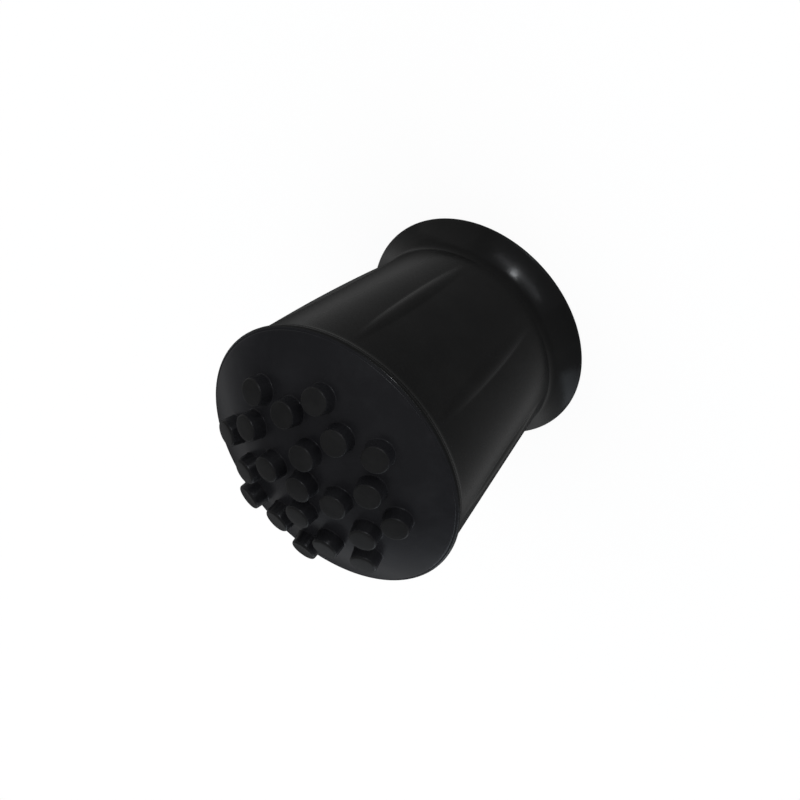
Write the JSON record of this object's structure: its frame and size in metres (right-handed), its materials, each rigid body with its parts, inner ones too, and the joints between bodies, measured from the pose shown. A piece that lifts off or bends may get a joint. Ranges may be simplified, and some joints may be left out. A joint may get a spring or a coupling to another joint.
{
  "type": "rubber cane tip",
  "caption": "Rubber foot for a cane: flared mouth, tapered side with slim raised ribs and a domed tread with round grip studs.",
  "frame": {"origin": "centre of the mouth plane, where the shaft goes in; the tip stands on its mouth", "axes": "+Z along the shaft bore from the mouth to the tread's crown; +X is the direction the rib and stud angles are counted from; -Y faces the viewer"},
  "size_m": [0.038, 0.038, 0.0419],
  "materials": {
    "rubber": "satin black moulded rubber"
  },
  "bodies": {
    "root": {"tip": "rubber"}
  },
  "joints": []
}
